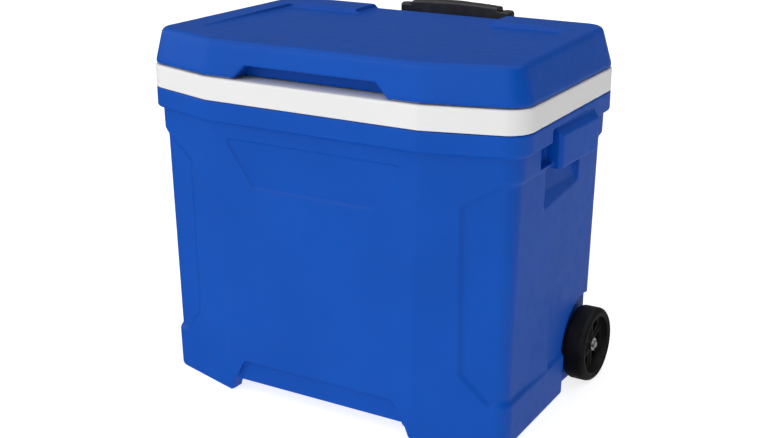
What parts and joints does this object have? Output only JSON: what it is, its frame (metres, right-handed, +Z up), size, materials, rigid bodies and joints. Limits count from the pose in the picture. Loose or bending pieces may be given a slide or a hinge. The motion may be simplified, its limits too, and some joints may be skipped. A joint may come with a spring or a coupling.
{
  "type": "cooler on wheels",
  "caption": "Insulated hard cooler with a hinged lid, moulded side grips, rear wheels on an axle and a telescoping tow handle.",
  "frame": {"origin": "middle of the bounding box on the floor", "axes": "+X to the right seen from the front, +Y to the back where the tow handle and wheels are, +Z up"},
  "size_m": [0.46, 0.331, 0.4124],
  "materials": {
    "blue_shell": "satin",
    "white_liner": "satin",
    "foam": "matte",
    "black_plastic": "satin",
    "wheel_plastic": "matte",
    "hinge_plastic": "satin",
    "tube_metal": "satin",
    "steel": "satin"
  },
  "bodies": {
    "body": {"body_shell": "blue_shell", "body_foam": "foam", "inner_liner": "white_liner", "handle_housing": "black_plastic", "handle_foot": "black_plastic", "housing_screws": "steel", "foot_screws": "steel", "body_hinge_screws": "steel", "axle": "steel", "axle_sleeve": "steel", "hinge_bracket_left": "hinge_plastic", "hinge_pin_left": "steel", "outer_tube_left": "tube_metal", "guide_bush_left": "black_plastic", "axle_washer_left": "steel", "axle_cap_left": "steel", "hinge_bracket_right": "hinge_plastic", "hinge_pin_right": "steel", "outer_tube_right": "tube_metal", "guide_bush_right": "black_plastic", "axle_washer_right": "steel", "axle_cap_right": "steel"},
    "lid": {"lid_shell": "blue_shell", "lid_foam": "foam", "lid_liner": "white_liner", "lid_hinge_screws": "steel", "hinge_leaf_left": "hinge_plastic", "hinge_leaf_right": "hinge_plastic"},
    "handle_lower_stage": {"middle_tube_left": "tube_metal", "middle_collar_left": "black_plastic", "middle_foot_left": "black_plastic", "middle_tube_right": "tube_metal", "middle_collar_right": "black_plastic", "middle_foot_right": "black_plastic"},
    "handle_upper_stage": {"tow_grip": "black_plastic", "button_spring": "steel", "inner_tube_left": "tube_metal", "inner_foot_left": "black_plastic", "inner_tube_right": "tube_metal", "inner_foot_right": "black_plastic"},
    "release": {"release_button": "black_plastic", "release_yoke": "black_plastic", "release_rod_left": "steel", "release_rod_right": "steel"},
    "left_wheel": {"wheel_left": "wheel_plastic"},
    "right_wheel": {"wheel_right": "wheel_plastic"}
  },
  "joints": [
    {"name": "lid_hinge", "type": "hinge", "parent": "body", "child": "lid", "pos_m": [0, 0.127, 0.385], "axis": [-1, 0, 0], "range_deg": [0, 88]},
    {"name": "handle_lower_slide", "type": "slide", "parent": "body", "child": "handle_lower_stage", "axis": [0, 0, 1], "range_m": [0, 0.24]},
    {"name": "handle_upper_slide", "type": "slide", "parent": "handle_lower_stage", "child": "handle_upper_stage", "axis": [0, 0, 1], "range_m": [0, 0.235]},
    {"name": "release_press", "type": "slide", "parent": "handle_upper_stage", "child": "release", "axis": [0, 0, -1], "range_m": [0, 0.004], "stiffness_N_per_m": 600, "springref_m": -0.004, "deforming": ["button_spring"]},
    {"name": "left_wheel_spin", "type": "hinge", "parent": "body", "child": "left_wheel", "pos_m": [-0.214, 0.0855, 0.043], "axis": [1, 0, 0], "continuous": true},
    {"name": "right_wheel_spin", "type": "hinge", "parent": "body", "child": "right_wheel", "pos_m": [0.214, 0.0855, 0.043], "axis": [1, 0, 0], "continuous": true}
  ]
}
